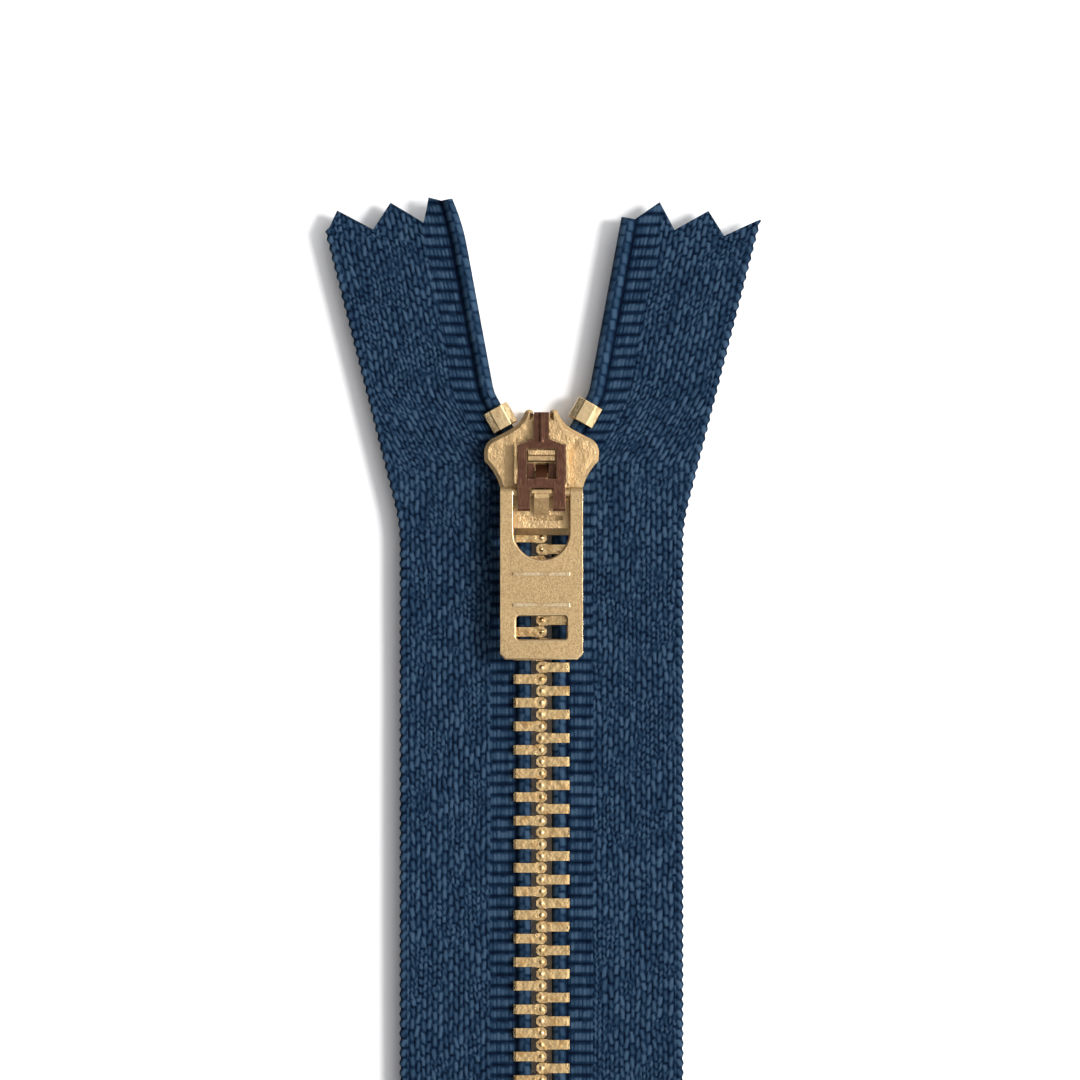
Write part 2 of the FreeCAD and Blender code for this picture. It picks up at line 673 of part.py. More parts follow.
def slider_lugs(body):
    """What stands on the upper plate: cheeks beside the spring, the lug in its window, and the
    keeper that arches forward over the tab's bar."""
    leaf_top = f"({LEAF_Z} + leaf_thick)"
    cheek_in = "(leaf_half + cheek_gap)"
    cheeks = sketch_on(body, "CheekPlan", "XY_Plane", DECK)
    for side in (-1, 1):
        draw(cheeks, outline([
            (cheek_in, "-cheek_rear"), (f"{cheek_in} + cheek_thick", "-cheek_rear"),
            (f"{cheek_in} + cheek_thick", "cheek_front"), (cheek_in, "cheek_front")], side))
    extrude(body, "Cheeks", cheeks, d(f"{LEAF_Z} - {DECK} + leaf_thick / 2"))
    lug = sketch_on(body, "LugSide", "YZ_Plane")
    draw(lug, outline([
        ("lug_rear", DECK), ("lug_front", DECK), ("lug_front", f"{leaf_top} + lug_rise"),
        ("lug_front - lug_lip", f"{leaf_top} + lug_rise"),
        ("lug_front - lug_lip - lug_step", f"{leaf_top} - lug_rise"),
        ("lug_rear + lug_step", f"{leaf_top} - lug_sink"), ("lug_rear", f"{leaf_top} - 2 * lug_sink"),
    ]))
    extrude(body, "Lug", lug, d("2 * lug_half"), both_ways=True)
    under = f"({AXIS_Z} + bar_radius + keeper_gap)"
    over = f"({under} + keeper_thick)"
    keeper = sketch_on(body, "KeeperSide", "YZ_Plane")
    draw(keeper, outline([
        ("-keeper_heel", DECK), ("-keeper_foot", DECK),
        ("keeper_lean - keeper_foot", f"{under} - keeper_round"),
        ("keeper_lean + keeper_round - keeper_foot", under), ("-keeper_tip", under), ("-keeper_tip", over),
        ("-keeper_tip - keeper_flat", over), ("-keeper_heel", f"{DECK} + keeper_back"),
    ]))
    extrude(body, "Keeper", keeper, d("2 * keeper_half"), both_ways=True)
    head = sketch_on(body, "KeeperHeadSide", "YZ_Plane")
    draw(head, outline([
        ("-keeper_tip", f"{over} - keeper_bead_depth"), ("-keeper_tip", f"{over} + keeper_bead / 2"),
        ("-keeper_tip - keeper_bead_length / 4", f"{over} + keeper_bead"),
        ("-keeper_tip - keeper_bead_length * 3 / 4", f"{over} + keeper_bead"),
        ("-keeper_tip - keeper_bead_length", f"{over} - keeper_bead_depth"),
    ]))
    extrude(body, "KeeperHead", head, d("2 * keeper_head_half"), both_ways=True)


def lock_spring():
    """The leaf spring that locks the slider: a neck hooked over the slider's nose, a plate with a
    window for the lug, a claw that drops through the deck, and a rear edge turned down behind
    the cams of the tab."""
    body = new_body("lock_spring")
    top = f"({LEAF_Z} + leaf_thick)"
    neck = f"({DECK} + neck_rise)"
    nose = "(slider_front - notch_depth + hook_gap)"
    low = f"({DECK} - hook_length)"
    side_view = sketch_on(body, "SideView", "YZ_Plane")
    draw(side_view, outline([
        ("-leaf_rear", f"{top} - leaf_corner"),
        ("leaf_corner - leaf_rear", top),
        ("leaf_front - leaf_bend", top),
        (f"{nose} - leaf_bend / 2", f"{neck} + leaf_thick"),
        (f"{nose} + leaf_thick", f"{neck} + leaf_thick - leaf_corner"),
        (f"{nose} + leaf_thick", low),
        (nose, low),
        (nose, f"{neck} - leaf_bend / 2"),
        (f"{nose} - 2 * leaf_bend", neck),
        ("leaf_front - 2 * leaf_bend", LEAF_Z),
        ("leaf_thick + leaf_bend - leaf_rear", LEAF_Z),
        ("leaf_thick - leaf_rear", f"{LEAF_Z} - leaf_bend"),
        ("leaf_thick - leaf_rear", f"{top} - leaf_drop"),
        ("-leaf_rear", f"{top} - leaf_drop"),
    ]))
    extrude(body, "Strip", side_view, d("2 * leaf_half"), both_ways=True)
    waste = sketch_on(body, "NeckWaste", "XY_Plane", d("lower_plate"))
    for side in (-1, 1):
        draw(waste, outline([
            ("neck_half", "2 * slider_front"), ("neck_half", "neck_front"),
            ("leaf_half", "leaf_front"), ("2 * leaf_half", "leaf_front"),
            ("2 * leaf_half", "2 * slider_front")], side))
    extrude(body, "NeckCut", waste, d("3 * slider_front"), kind="Pocket", both_ways=True)
    window = sketch_on(body, "WindowPlan", "XY_Plane", DECK)
    draw(window, rectangle("-window_half", "window_half", "-window_rear", "window_front"))
    extrude(body, "Window", window, DECK, kind="Pocket", both_ways=True)
    notch = sketch_on(body, "NotchPlan", "XY_Plane", DECK)
    draw(notch, rectangle("-notch_half", "notch_half", "-2 * leaf_rear", "-notch_front"))
    extrude(body, "RearNotch", notch, DECK, kind="Pocket", both_ways=True)
    tip = f"({MID} + tooth_height / 2 + claw_clear)"
    claw = sketch_on(body, "ClawSide", "YZ_Plane")
    draw(claw, outline([
        ("-window_rear - leaf_bend", LEAF_Z), ("-window_rear - leaf_bend", top),
        ("leaf_bend - window_rear", top), ("claw_front", f"{DECK} + 2.5 * leaf_bend"),
        ("claw_front", tip), ("claw_rear", tip), ("claw_rear", f"{DECK} + leaf_bend / 2"),
    ]))
    extrude(body, "Claw", claw, d("2 * claw_half"), both_ways=True)
    return body


def pull_tab():
    """The tab: a plate with two arms, a slot for a cord, and between the arms a round bar with a
    cam on each side that lifts the spring as the tab is raised."""
    body = new_body("pull_tab")
    hinge = sketch_on(body, "ArmEndSide", "YZ_Plane")
    circle(hinge, d("-tab_axis"), AXIS_Z, d("tab_thick / 2"))
    extrude(body, "ArmEnds", hinge, d("2 * tab_half"), both_ways=True)
    plan = sketch_on(body, "Plan", "XY_Plane", AXIS_Z)
    draw(plan, mirrored(outline([
        ("tab_half", "-tab_axis"),
        ("tab_half", "tab_corner - tab_end"),
        ("tab_half - tab_corner", "-tab_end"),
    ])))
    extrude(body, "Plate", plan, d("tab_thick"), both_ways=True)
    bow = sketch_on(body, "BowPlan", "XY_Plane", AXIS_Z)
    draw(bow, rectangle("-bow_half", "bow_half", "bow_half - bow_end", "tab_thick - tab_axis"))
    extrude(body, "Bow", bow, d("2 * tab_thick"), kind="Pocket", both_ways=True)
    round_end = sketch_on(body, "BowEndPlan", "XY_Plane", AXIS_Z)
    circle(round_end, "0", d("bow_half - bow_end"), d("bow_half"))
    extrude(body, "BowEnd", round_end, d("2 * tab_thick"), kind="Pocket", both_ways=True)
    slot = sketch_on(body, "SlotPlan", "XY_Plane", AXIS_Z)
    draw(slot, mirrored(outline([
        ("slot_half - slot_corner", "-slot_top", "-slot_corner"),
        ("slot_half", "-slot_top - slot_corner"),
        ("slot_half", "slot_corner - slot_bottom", "-slot_corner"),
        ("slot_half - slot_corner", "-slot_bottom"),
    ])))
    extrude(body, "Slot", slot, d("2 * tab_thick"), kind="Pocket", both_ways=True)
    face = value(AXIS_Z) + value(d("tab_thick / 2"))
    back = value(AXIS_Z) - value(d("tab_thick / 2"))
    arm_start = value(d("-tab_axis - tab_edge"))
    bevel(body, "EdgeBevel", d("tab_edge"),
          lambda p: min(abs(p.z - face), abs(p.z - back)) < 1e-6 and p.y < arm_start)
    cam = sketch_on(body, "CamSide", "YZ_Plane")
    circle(cam, d("-tab_axis - cam_offset"), AXIS_Z, d("bar_radius"))
    extrude(body, "Cams", cam, d("2 * cam_out"), both_ways=True)
    gap = sketch_on(body, "CamGapPlan", "XY_Plane", AXIS_Z)
    draw(gap, rectangle("-cam_half", "cam_half", "-tab_axis - cam_offset - 2 * bar_radius", "0"))
    extrude(body, "CamGap", gap, d("2 * tab_thick"), kind="Pocket", both_ways=True)
    bar = sketch_on(body, "BarSide", "YZ_Plane")
    circle(bar, d("-tab_axis"), AXIS_Z, d("bar_radius"))
    extrude(body, "Bar", bar, d("2 * bow_half + tab_thick"), both_ways=True)
    lines = sketch_on(body, "LinePlan", "XY_Plane", d(f"{AXIS_Z} + tab_thick / 2"))
    for place in ("field_top", "field_bottom"):
        draw(lines, rectangle("-line_half", "line_half", f"-{place} - line_width", f"-{place}"))
    extrude(body, "FieldLines", lines, d("line_height"))
    return body


def row_of_teeth(word, side):
    """All the teeth of one side: those in the slider's mouth, the straight runs, the low ones."""
    shift = "0" if side < 0 else "pitch / 2"
    above = "first_tooth + pitch" if side < 0 else "first_tooth + 1.5 * pitch"
    made = [teeth(f"{word}_mouth_teeth", side, *row_place(side, f"({above})"), None if side < 0 else "2")]
    for run in range(int(value(d("run_count")))):
        height = d(f"first_tooth - {shift} - {run} * teeth_per_run * pitch")
        made.append(teeth(f"{word}_teeth_{run + 1}", side, ("0", height, MID), None, d("teeth_per_run")))
    height = d(f"first_tooth - {shift} - {STRAIGHT_TEETH} * pitch")
    made.append(teeth(f"{word}_low_teeth", side, ("0", height, MID), None, d("low_teeth")))
    return made


def zipper():
    pieces = []
    for side, word in ((-1, "left"), (1, "right")):
        pieces += row_of_teeth(word, side)
        pieces.append(top_stop(f"{word}_top_stop", side, f"{word}_stop"))
        pieces.append(cord(f"{word}_cord", side))
        pieces.append(cord_tail(f"{word}_cord_tail", side))
        pieces.append(tape(f"{word}_tape", side))
        pieces.append(tape_tail(f"{word}_tape_tail", side))
    pieces += [bottom_stop(), slider_body(), lock_spring(), pull_tab()]
    return pieces


def check(pieces):
    """Stops the build where an object of the document failed or a piece is not a sound solid."""
    for item in doc.Objects:
        if {"Invalid", "Error"} & set(item.State):
            raise RuntimeError(f"{item.Label} failed: {item.State}")
    for piece in pieces:
        shape = piece.Shape
        if shape.isNull() or not shape.isValid() or not shape.Solids:
            raise RuntimeError(f"{piece.Label} is not a sound solid")


pieces = zipper()
doc.recompute()
check(pieces)
os.makedirs("parts", exist_ok=True)
for piece in pieces:
    piece.Shape.exportStep(f"parts/{piece.Label}.step")
print(f"{len(pieces)} nodes, slider travel {-value(d('slider_rear')) - value(STOP_TOP):.3f} mm,"
      f" pivot at y {value(PIVOT_Y):.3f}, tab axis at z {value(AXIS_Z):.3f}")
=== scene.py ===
"""The finished look of a closed-end metal jeans zipper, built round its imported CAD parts.

Lengths in formulas are in millimetres until a mesh is made, which is in metres.  The frame is the
CAD's: +Y along the chain towards the open end, +Z up out of the face, and the origin under the
middle of the slider.
"""
import json
import math

import bmesh
import bpy
import numpy as np
from mathutils import Matrix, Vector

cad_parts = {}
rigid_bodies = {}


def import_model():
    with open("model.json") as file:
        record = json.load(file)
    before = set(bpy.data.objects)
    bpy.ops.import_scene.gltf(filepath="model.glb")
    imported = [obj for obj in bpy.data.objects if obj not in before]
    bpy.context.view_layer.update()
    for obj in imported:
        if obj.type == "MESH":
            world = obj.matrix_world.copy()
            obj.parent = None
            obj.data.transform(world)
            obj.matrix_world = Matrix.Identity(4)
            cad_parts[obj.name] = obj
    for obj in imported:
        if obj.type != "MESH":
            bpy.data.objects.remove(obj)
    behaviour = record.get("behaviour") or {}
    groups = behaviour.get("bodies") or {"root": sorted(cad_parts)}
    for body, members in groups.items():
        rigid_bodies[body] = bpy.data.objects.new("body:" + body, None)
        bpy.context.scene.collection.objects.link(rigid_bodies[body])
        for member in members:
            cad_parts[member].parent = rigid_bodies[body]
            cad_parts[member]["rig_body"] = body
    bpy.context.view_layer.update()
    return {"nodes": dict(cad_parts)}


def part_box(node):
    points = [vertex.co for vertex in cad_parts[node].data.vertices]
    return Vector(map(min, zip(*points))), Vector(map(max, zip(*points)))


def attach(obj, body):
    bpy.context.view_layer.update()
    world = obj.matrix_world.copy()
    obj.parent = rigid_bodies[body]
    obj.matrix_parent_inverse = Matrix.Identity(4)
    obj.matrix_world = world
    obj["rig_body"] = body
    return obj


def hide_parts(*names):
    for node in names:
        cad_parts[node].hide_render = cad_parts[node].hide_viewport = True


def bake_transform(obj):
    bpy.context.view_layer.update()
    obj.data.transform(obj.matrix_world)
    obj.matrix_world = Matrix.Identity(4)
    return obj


bl_info = {
    "name": "Metal zipper",
    "version": (1, 0, 0),
    "blender": (4, 5, 0),
    "location": "View3D > Sidebar > Zipper",
    "description": "Woven tapes, brass teeth, slider, lock spring and pull tab of a jeans zipper",
    "category": "Mesh",
}

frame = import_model()
MM = 0.001
WAYS_TOP = 30.0        # both ways of a tape are drawn this far up, and the cut trims them
CUT_LEAN = 12.0        # mean lean of the ways at the cut, in degrees
TRIMMED = 6.0          # length of way over which the rows gather towards the cut


def box_mm(node):
    """The lowest and highest corner of a CAD node, in millimetres."""
    low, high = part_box(node)
    return np.array(low) / MM, np.array(high) / MM


SELVEDGE = float(box_mm("right_tape_tail")[1][0])
TAIL_END = float(box_mm("right_tape_tail")[0][1])
STOP_END = float(box_mm("bottom_stop")[0][1])
TAB_AXIS = float((box_mm("pull_tab")[0][2] + box_mm("pull_tab")[1][2]) / 2)
CHAIN_MIDDLE = float((box_mm("right_teeth_1")[0][2] + box_mm("right_teeth_1")[1][2]) / 2)


# ---------------------------------------------------------------- properties


def length(name, text, default):
    """A length in millimetres."""
    return bpy.props.FloatProperty(name=name, description=text, default=default, min=0.0)


def strength(name, text, default):
    """The strength of a light."""
    return bpy.props.FloatProperty(name=name, description=text, default=default, min=0.0)


def hue(name, text, default):
    """A colour as an sRGB hex value."""
    return bpy.props.StringProperty(name=name, description=text, default=default)


class TapeSettings(bpy.types.PropertyGroup):
    """Sizes and colours of the two woven tapes."""

    cord_line: length("Cord line", "From the chain's centre line to the middle of the bead, in mm", 1.85)
    bead: length("Bead", "Diameter of the corded edge, in mm", 1.5)
    thick: length("Thickness", "Thickness of the woven tape, in mm", 0.55)
    wale: length("Wale", "From one column of floats to the next, in mm", 0.58)
    float_length: length("Float length", "Length of one float along the tape, in mm", 1.3)
    rib: length("Rib", "From one cross rib of the ladder band to the next, in mm", 1.19)
    relief: length("Relief", "Height of the floats over the gaps between them, in mm", 0.15)
    # The tape material runs these three colours along the float height, so light and shade are painted in:
    # the float colour is the yarn with a painted highlight on top, the body colour a painted half shade on
    # the flanks, and the gap colour a painted shade between the floats.
    light: hue("Float colour", "Colour of the polyester floats", "#3C5268")
    middle: hue("Body colour", "Colour of the flanks of the floats", "#12283E")
    painted_gap_shade: hue("Gap colour", "Colour deep between the floats", "#000A1E")


class MetalSettings(bpy.types.PropertyGroup):
    """Colours of the metal parts."""

    teeth: hue("Teeth", "Polished crimped brass", "#E2C08A")
    stops: hue("Stops", "Polished crimped brass of the stops", "#F0D2A0")
    cast: hue("Slider", "Satin die-cast brass", "#C6A77A")
    tab: hue("Tab", "Sand-textured brass of the pull tab", "#C4A87C")
    # painted edge highlight: the paler brass given to the rounded edges of the slider and tab and to the
    # tab's raised lines, standing in for glints
    rim: hue("Rim", "Brass polished by handling, along the edges", "#EFD8AE")
    spring: hue("Spring", "Antique copper finish of the lock spring", "#6A4938")
    # painted edge highlight: the paler copper on the spring's rounded edges
    spring_rim: hue("Spring rim", "Copper rubbed paler along the spring's edges", "#A47C60")


class StageSettings(bpy.types.PropertyGroup):
    """Light, floor and camera."""

    view: length("View", "Side of the square that the camera takes in, in mm", 114.5)
    centre_x: bpy.props.FloatProperty(name="Centre X", description="Middle of the view, in mm", default=-0.16)
    centre_y: bpy.props.FloatProperty(name="Centre Y", description="Middle of the view, in mm", default=-7.26)
    distance: length("Distance", "From the camera to the zipper, in mm", 900.0)
    key: strength("Key light", "Strength of the key light", 2.4)
    fill: strength("Fill light", "Strength of the soft boxes", 1.7)
    floor: hue("Floor", "Colour of the table", "#FFFFFF")


# ---------------------------------------------------------------- materials


def linear(colour):
    """Linear RGBA of an sRGB hex value."""
    parts = [int(colour[n:n + 2], 16) / 255 for n in (1, 3, 5)]
    return [p / 12.92 if p <= 0.04045 else ((p + 0.055) / 1.055) ** 2.4 for p in parts] + [1.0]


def add(tree, kind, inputs=(), **settings):
    """Adds a shader node, sets its options, and fills or links its inputs by name or number."""
    made = tree.nodes.new("ShaderNode" + kind)
    for option, choice in settings.items():
        setattr(made, option, choice)
    for socket, given in dict(inputs).items():
        if isinstance(given, bpy.types.NodeSocket):
            tree.links.new(given, made.inputs[socket])
        else:
            made.inputs[socket].default_value = given
    return made


def ramp(tree, factor, stops):
    """A colour ramp from (place, hex colour) pairs."""
    made = add(tree, "ValToRGB", {0: factor})
    elements = made.color_ramp.elements
    while len(elements) < len(stops):
        elements.new(1.0)
    for element, (place, colour) in zip(elements, stops):
        element.position = place
        element.color = linear(colour)
    return made.outputs[0]


def noise(tree, place, scale, detail, roughness=0.5):
    """Smooth noise from 0 to 1, with the given number of waves to the metre."""
    inputs = {"Vector": place, "Scale": scale, "Detail": detail, "Roughness": roughness}
    return add(tree, "TexNoise", inputs).outputs[0]


def new_material(name):
    """A material with an empty tree, and its Principled and output nodes."""
    material = bpy.data.materials.new(name)
    material.use_nodes = True
    tree = material.node_tree
    tree.nodes.clear()
    shader = add(tree, "BsdfPrincipled")
    add(tree, "OutputMaterial", {0: shader.outputs[0]})
    return material, tree, shader


def woven_polyester(settings):
    """Textured polyester yarn, woven and dyed navy, and matt.  Light and shade are painted in along the float
    height: a painted highlight on top of each float, a painted half shade on its flanks and a painted shade
    near black in the gaps.  "thread" holds the float height and the yarn's own tint."""
    material, tree, shader = new_material("navy_woven_polyester")
    thread = add(tree, "Attribute", attribute_name="thread").outputs["Vector"]
    part = add(tree, "SeparateXYZ", {0: thread})
    place = add(tree, "Attribute", attribute_name="lay").outputs["Vector"]
    # filaments of 0.09 mm run along the yarn
    fibre_place = add(tree, "VectorMath", {0: place, 1: (11.0, 2.2, 1.0)}, operation="MULTIPLY").outputs[0]
    fibre = noise(tree, fibre_place, 1.0, 3.0, 0.65)
    shade = add(tree, "Math", {0: fibre, 1: 0.34, 2: -0.17}, operation="MULTIPLY_ADD").outputs[0]
    tint = add(tree, "Math", {0: part.outputs[1], 1: 0.24, 2: -0.12}, operation="MULTIPLY_ADD").outputs[0]
    # painted light and shade: the float height, with the fibre noise and the float's tint added, picks the
    # colour, low in the gaps for painted shade and high on the tops for a painted highlight
    level = add(tree, "Math", {0: part.outputs[0], 1: 0.82, 2: shade}, operation="MULTIPLY_ADD").outputs[0]
    level = add(tree, "Math", {0: level, 1: tint}, operation="ADD", use_clamp=True).outputs[0]
    colour = ramp(tree, level, [(0.16, settings.painted_gap_shade), (0.58, settings.middle), (0.96, settings.light)])
    tree.links.new(colour, shader.inputs["Base Color"])
    bump = add(tree, "Bump", {"Height": fibre, "Strength": 0.55, "Distance": 0.00006})
    tree.links.new(bump.outputs[0], shader.inputs["Normal"])
    shader.inputs["Roughness"].default_value = 0.72
    shader.inputs["Specular IOR Level"].default_value = 0.05
    return material


def polished_brass(name, colour, seed, dents):
    """Brass wire, stamped, crimped and tumbled: bright, with soft dents of the given depth in mm,
    drag marks of the crimping tool and a warmer tarnish in patches."""
    material, tree, shader = new_material(name)
    place = add(tree, "TexCoord").outputs["Object"]
    moved = add(tree, "Mapping", {"Vector": place, "Location": (seed, 0.0, 0.0)}).outputs[0]
    # patches of tarnish about 1.2 mm wide
    patch = noise(tree, moved, 850.0, 3.0, 0.6)
    warm = add(tree, "Mix", {"A": linear(colour), "B": linear("#A87638")}, data_type="RGBA")
    amount = add(tree, "MapRange", {0: patch, 1: 0.5, 2: 0.72, 3: 0.0, 4: 0.75}).outputs[0]
    tree.links.new(amount, warm.inputs[0])
    tree.links.new(warm.outputs["Result"], shader.inputs["Base Color"])
    rough = add(tree, "MapRange", {0: patch, 1: 0.3, 2: 0.7, 3: 0.17, 4: 0.32}).outputs[0]
    tree.links.new(rough, shader.inputs["Roughness"])
    # dents 0.6 mm wide and drag marks 0.06 mm wide
    dent = noise(tree, moved, 1700.0, 1.0)
    drag_place = add(tree, "Mapping", {"Vector": moved, "Scale": (0.12, 1.0, 1.0)}).outputs[0]
    drag = noise(tree, drag_place, 15000.0, 2.0)
    relief = add(tree, "Math", {0: drag, 1: 0.12, 2: dent}, operation="MULTIPLY_ADD").outputs[0]
    bump = add(tree, "Bump", {"Height": relief, "Distance": dents * MM})
    tree.links.new(bump.outputs[0], shader.inputs["Normal"])
    shader.inputs["Metallic"].default_value = 1.0
    return material


def satin_cast_brass(colour):
    """Die-cast brass, tumbled to a satin: soft broad highlights, a fine grain and faint flow
    patches."""
    material, tree, shader = new_material("satin_cast_brass")
    place = add(tree, "TexCoord").outputs["Object"]
    # flow patches about 2 mm wide and tumbling grain of 0.1 mm
    patch = noise(tree, place, 480.0, 4.0, 0.6)
    grain = noise(tree, place, 9500.0, 2.0)
    warm = add(tree, "Mix", {"A": linear(colour), "B": linear("#B99A70")}, data_type="RGBA")
    amount = add(tree, "MapRange", {0: patch, 1: 0.42, 2: 0.7, 3: 0.0, 4: 0.6}).outputs[0]
    tree.links.new(amount, warm.inputs[0])
    tree.links.new(warm.outputs["Result"], shader.inputs["Base Color"])
    rough = add(tree, "MapRange", {0: patch, 1: 0.3, 2: 0.7, 3: 0.34, 4: 0.46}).outputs[0]
    tree.links.new(rough, shader.inputs["Roughness"])
    relief = add(tree, "Math", {0: patch, 1: 6.0, 2: grain}, operation="MULTIPLY_ADD").outputs[0]
    bump = add(tree, "Bump", {"Height": relief, "Strength": 0.9, "Distance": 0.00004})
    tree.links.new(bump.outputs[0], shader.inputs["Normal"])
    shader.inputs["Metallic"].default_value = 1.0
    return material


def sand_textured_brass(colour):
    """Brass sheet with a sand-textured face from its die: an even sparkle of grit."""
    material, tree, shader = new_material("sand_textured_brass")
    place = add(tree, "TexCoord").outputs["Object"]
    # grit of 0.15 mm, drawn a little coarser than real so that it shows
    grit = noise(tree, place, 5200.0, 3.0, 0.7)
    cloud = noise(tree, place, 300.0, 2.0)
    speck = add(tree, "Mix", {"A": linear("#A08560"), "B": linear(colour)}, data_type="RGBA")
    tree.links.new(add(tree, "MapRange", {0: grit, 1: 0.32, 2: 0.6}).outputs[0], speck.inputs[0])
    tree.links.new(speck.outputs["Result"], shader.inputs["Base Color"])
    rough = add(tree, "MapRange", {0: cloud, 1: 0.3, 2: 0.7, 3: 0.40, 4: 0.50}).outputs[0]
    tree.links.new(rough, shader.inputs["Roughness"])
    bump = add(tree, "Bump", {"Height": grit, "Strength": 0.75, "Distance": 0.00004})
    tree.links.new(bump.outputs[0], shader.inputs["Normal"])
    shader.inputs["Metallic"].default_value = 1.0
    return material


def antique_copper(name, colour):
    """Spring brass plated and oxidised to antique copper: brown and half gloss, cloudy, and
    streaked where the strip was drawn."""
    material, tree, shader = new_material(name)
    place = add(tree, "TexCoord").outputs["Object"]
    # oxide clouds of 1 mm and drawing streaks of 0.08 mm along the strip
    cloud = noise(tree, place, 1000.0, 4.0, 0.65)
    streak_place = add(tree, "Mapping", {"Vector": place, "Scale": (1.0, 0.1, 1.0)}).outputs[0]
    streak = noise(tree, streak_place, 11000.0, 2.0)
    oxide = add(tree, "Mix", {"A": linear(colour), "B": linear("#4A2E26")}, data_type="RGBA")
    amount = add(tree, "MapRange", {0: cloud, 1: 0.4, 2: 0.7, 3: 0.0, 4: 0.8}).outputs[0]
    tree.links.new(amount, oxide.inputs[0])
    tree.links.new(oxide.outputs["Result"], shader.inputs["Base Color"])
    rough = add(tree, "MapRange", {0: cloud, 1: 0.3, 2: 0.7, 3: 0.28, 4: 0.42}).outputs[0]
    tree.links.new(rough, shader.inputs["Roughness"])
    relief = add(tree, "Math", {0: streak, 1: 0.6, 2: cloud}, operation="MULTIPLY_ADD").outputs[0]
    # a rib 0.5 mm wide pressed along the middle of the neck
    spot = add(tree, "SeparateXYZ", {0: place})
    aside = add(tree, "Math", {0: spot.outputs[0]}, operation="ABSOLUTE").outputs[0]
    rib = add(tree, "MapRange", {0: aside, 1: 0.08 * MM, 2: 0.32 * MM, 3: 6.0, 4: 0.0},
              interpolation_type="SMOOTHSTEP").outputs[0]
    neck = add(tree, "MapRange", {0: spot.outputs[1], 1: 3.0 * MM, 2: 3.6 * MM}).outputs[0]
    relief = add(tree, "Math", {0: rib, 1: neck, 2: relief}, operation="MULTIPLY_ADD").outputs[0]
    bump = add(tree, "Bump", {"Height": relief, "Strength": 0.9, "Distance": 0.00004})
    tree.links.new(bump.outputs[0], shader.inputs["Normal"])
    shader.inputs["Metallic"].default_value = 0.9
    return material


# ---------------------------------------------------------------- shapes


def hashed(*numbers):
    """A repeatable number from 0 to 1 for each set of whole numbers: the fraction of a large
    sine."""
    total = sum(number * weight for number, weight in zip(numbers, (12.9898, 78.233, 37.719)))
    return np.modf(np.abs(np.sin(total) * 43758.5453))[0]


def clouds(u, v, seed):
    """Smooth noise from 0 to 1: hashed values at whole places, joined by smooth steps."""
    u0, v0 = np.floor(u), np.floor(v)
    a, b = u - u0, v - v0
    a, b = a * a * (3 - 2 * a), b * b * (3 - 2 * b)
    low = hashed(u0, v0, seed) * (1 - a) + hashed(u0 + 1, v0, seed) * a
    high = hashed(u0, v0 + 1, seed) * (1 - a) + hashed(u0 + 1, v0 + 1, seed) * a
    return low * (1 - b) + high * b


def floats(across, along, width, run, shift, lean, seed):
    """Height and tint, each 0 to 1, of floats in columns of the given width: a float is a rounded
    ridge of length run, each column starts shift further on, and floats lean by turns."""
    column = np.floor(across / width)
    reach = along / run + column * shift + 0.25 * hashed(column, 0 * column, seed)
    row = np.floor(reach)
    y = 2 * (reach - row) - 1
    turn = np.where(column % 2 > 0.5, 1.0, -1.0)
    x = 2 * (across / width - column) - 1 + lean * turn * y
    height = np.sqrt(np.clip(1 - np.abs(x) ** 2.4, 0, 1)) * np.clip(1 - np.abs(y) ** 6, 0, 1) ** 0.6
    return height, hashed(column, row, seed + 3.0)


def weave(settings, out, along, edge, seed):
    """Height and tint of the cloth, 0 to 1.  out is the distance outwards from the bead's middle,
    edge the distance in from the selvedge.  The bead has two twisted plies, then come a crease,
    the ladder band with its cross ribs, the floats of the body, and the looped selvedge."""
    drift = 0.32 * (clouds(out * 0.7, along * 0.45, seed) - 0.5)
    slip = 0.8 * (clouds(out * 0.9, along * 0.35, seed + 1) - 0.5)
    body, body_tint = floats(out + drift, along + slip, settings.wale, settings.float_length,
                             0.43, 0.30, seed)
    small, small_tint = floats(out - drift, along - slip, settings.wale * 0.8, settings.float_length * 0.6,
                               0.37, -0.4, seed + 7)
    blend = np.clip((clouds(out * 0.55, along * 0.5, seed + 2) - 0.55) * 8, 0, 1)
    height, tint = body * (1 - blend) + small * blend, body_tint * (1 - blend) + small_tint * blend
    rib = settings.rib
    ladder, ladder_tint = floats(out + 0.3 * drift, along, 0.42, rib, 0.0, 0.0, seed + 4)
    # between the cross ribs the cloth dips, in the mesh and, through the tape material, as a painted shade
    # line
    rung = 1 - 0.85 * np.exp(-((np.abs(along / rib - np.round(along / rib)) * rib) / 0.17) ** 2)
    inside = np.clip((3.75 - out + drift) / 0.2, 0, 1)
    height = height * (1 - inside) + (0.55 * ladder + 0.45) * rung * inside
    tint = tint * (1 - inside) + ladder_tint * inside
    bead, bead_tint = floats(out + 0.75 + 0.02, along, 0.76, rib, 0.5, 0.25, seed + 5)
    on_bead = np.clip((0.8 - out) / 0.1, 0, 1)
    height = height * (1 - on_bead) + (0.35 + 0.6 * bead) * on_bead
    tint = tint * (1 - on_bead) + bead_tint * on_bead
    # the crease beside the bead dips the cloth, in the mesh and, through the tape material, as a painted
    # shade line
    height = height * (1 - 0.9 * np.exp(-((out - 0.95) / 0.16) ** 2))
    loop, loop_tint = floats(edge, along, 0.72, 1.04, 0.45, 0.55, seed + 6)
    at_edge = np.clip((0.74 - edge) / 0.12, 0, 1)
    height = height * (1 - at_edge) + loop * at_edge
    tint = tint * (1 - at_edge) + loop_tint * at_edge
    return height, tint


def arc(centre, radius, start, end, count):
    """Points on an arc, its angles in degrees."""
    angles = np.radians(np.linspace(start, end, count))
    return np.stack([centre[0] + radius * np.cos(angles), centre[1] + radius * np.sin(angles)], 1)


